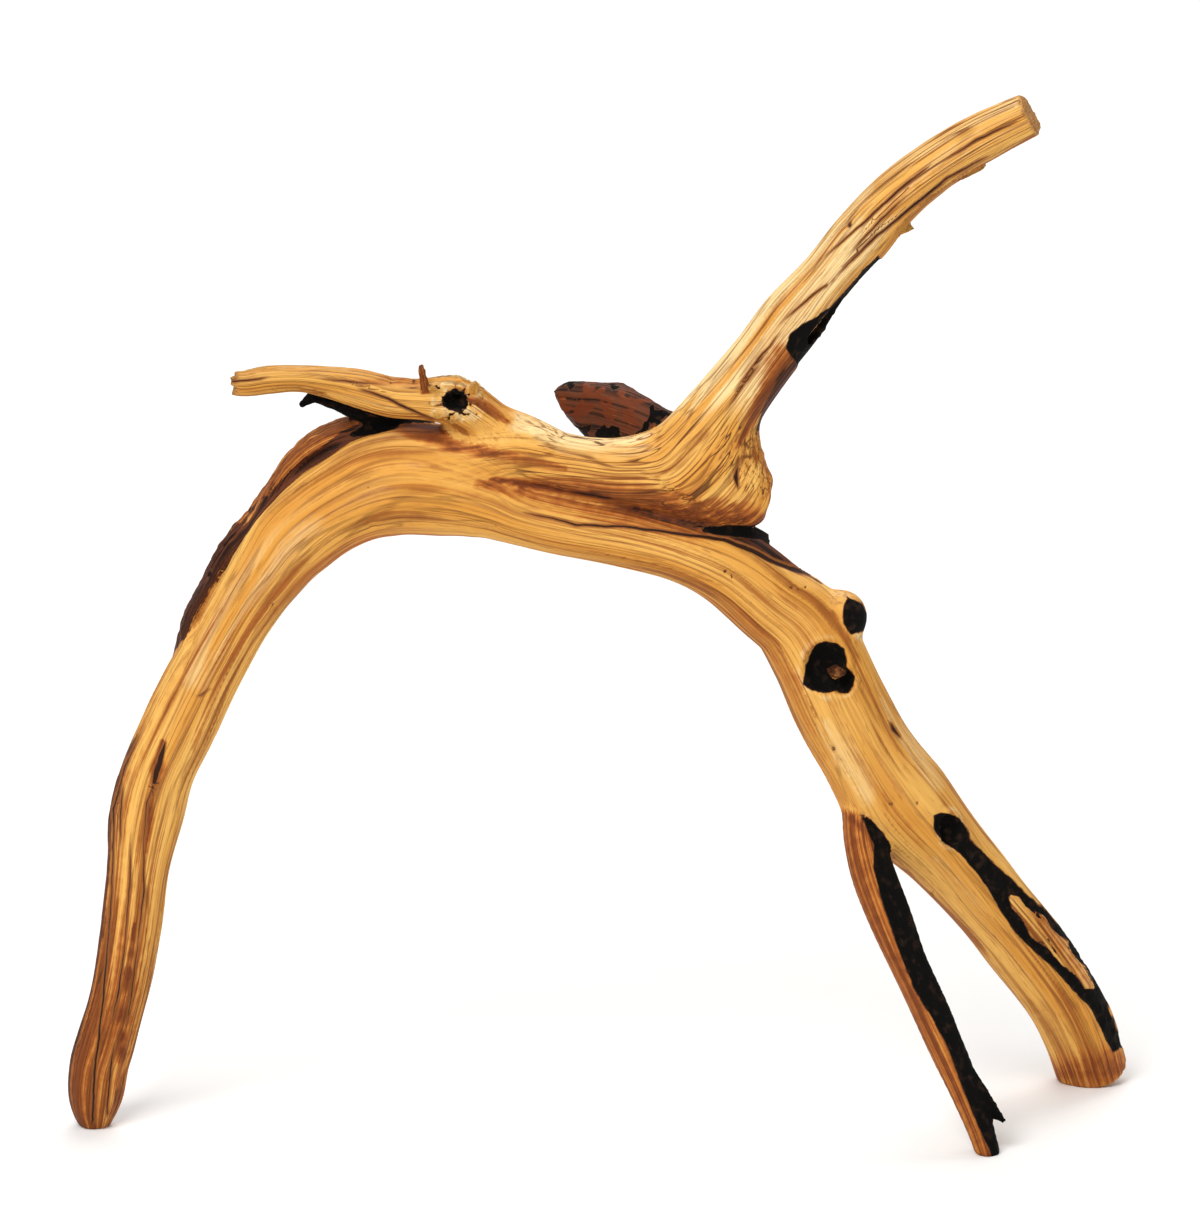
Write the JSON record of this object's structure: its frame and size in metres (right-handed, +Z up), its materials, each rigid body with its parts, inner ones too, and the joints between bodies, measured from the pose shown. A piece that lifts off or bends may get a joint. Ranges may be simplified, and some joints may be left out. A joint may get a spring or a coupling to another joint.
{
  "type": "spiderwood root",
  "caption": "Dried, peeled shrub root that stands as an arch on its cut feet, with a bough bent up from the crown and a snapped side branch; hardscape for tanks.",
  "frame": {"origin": "middle of the box's underside, on the floor the feet stand on", "axes": "+Z up, +X to the right foot as the viewer sees it, the viewer on the -Y side"},
  "size_m": [0.2621, 0.0766, 0.2649],
  "materials": {
    "peeled_wood": "dry peeled root wood, honey coloured with brown grain lines, dark bark remains and black knots"
  },
  "bodies": {
    "root": {"spiderwood_root": "peeled_wood"}
  },
  "joints": []
}
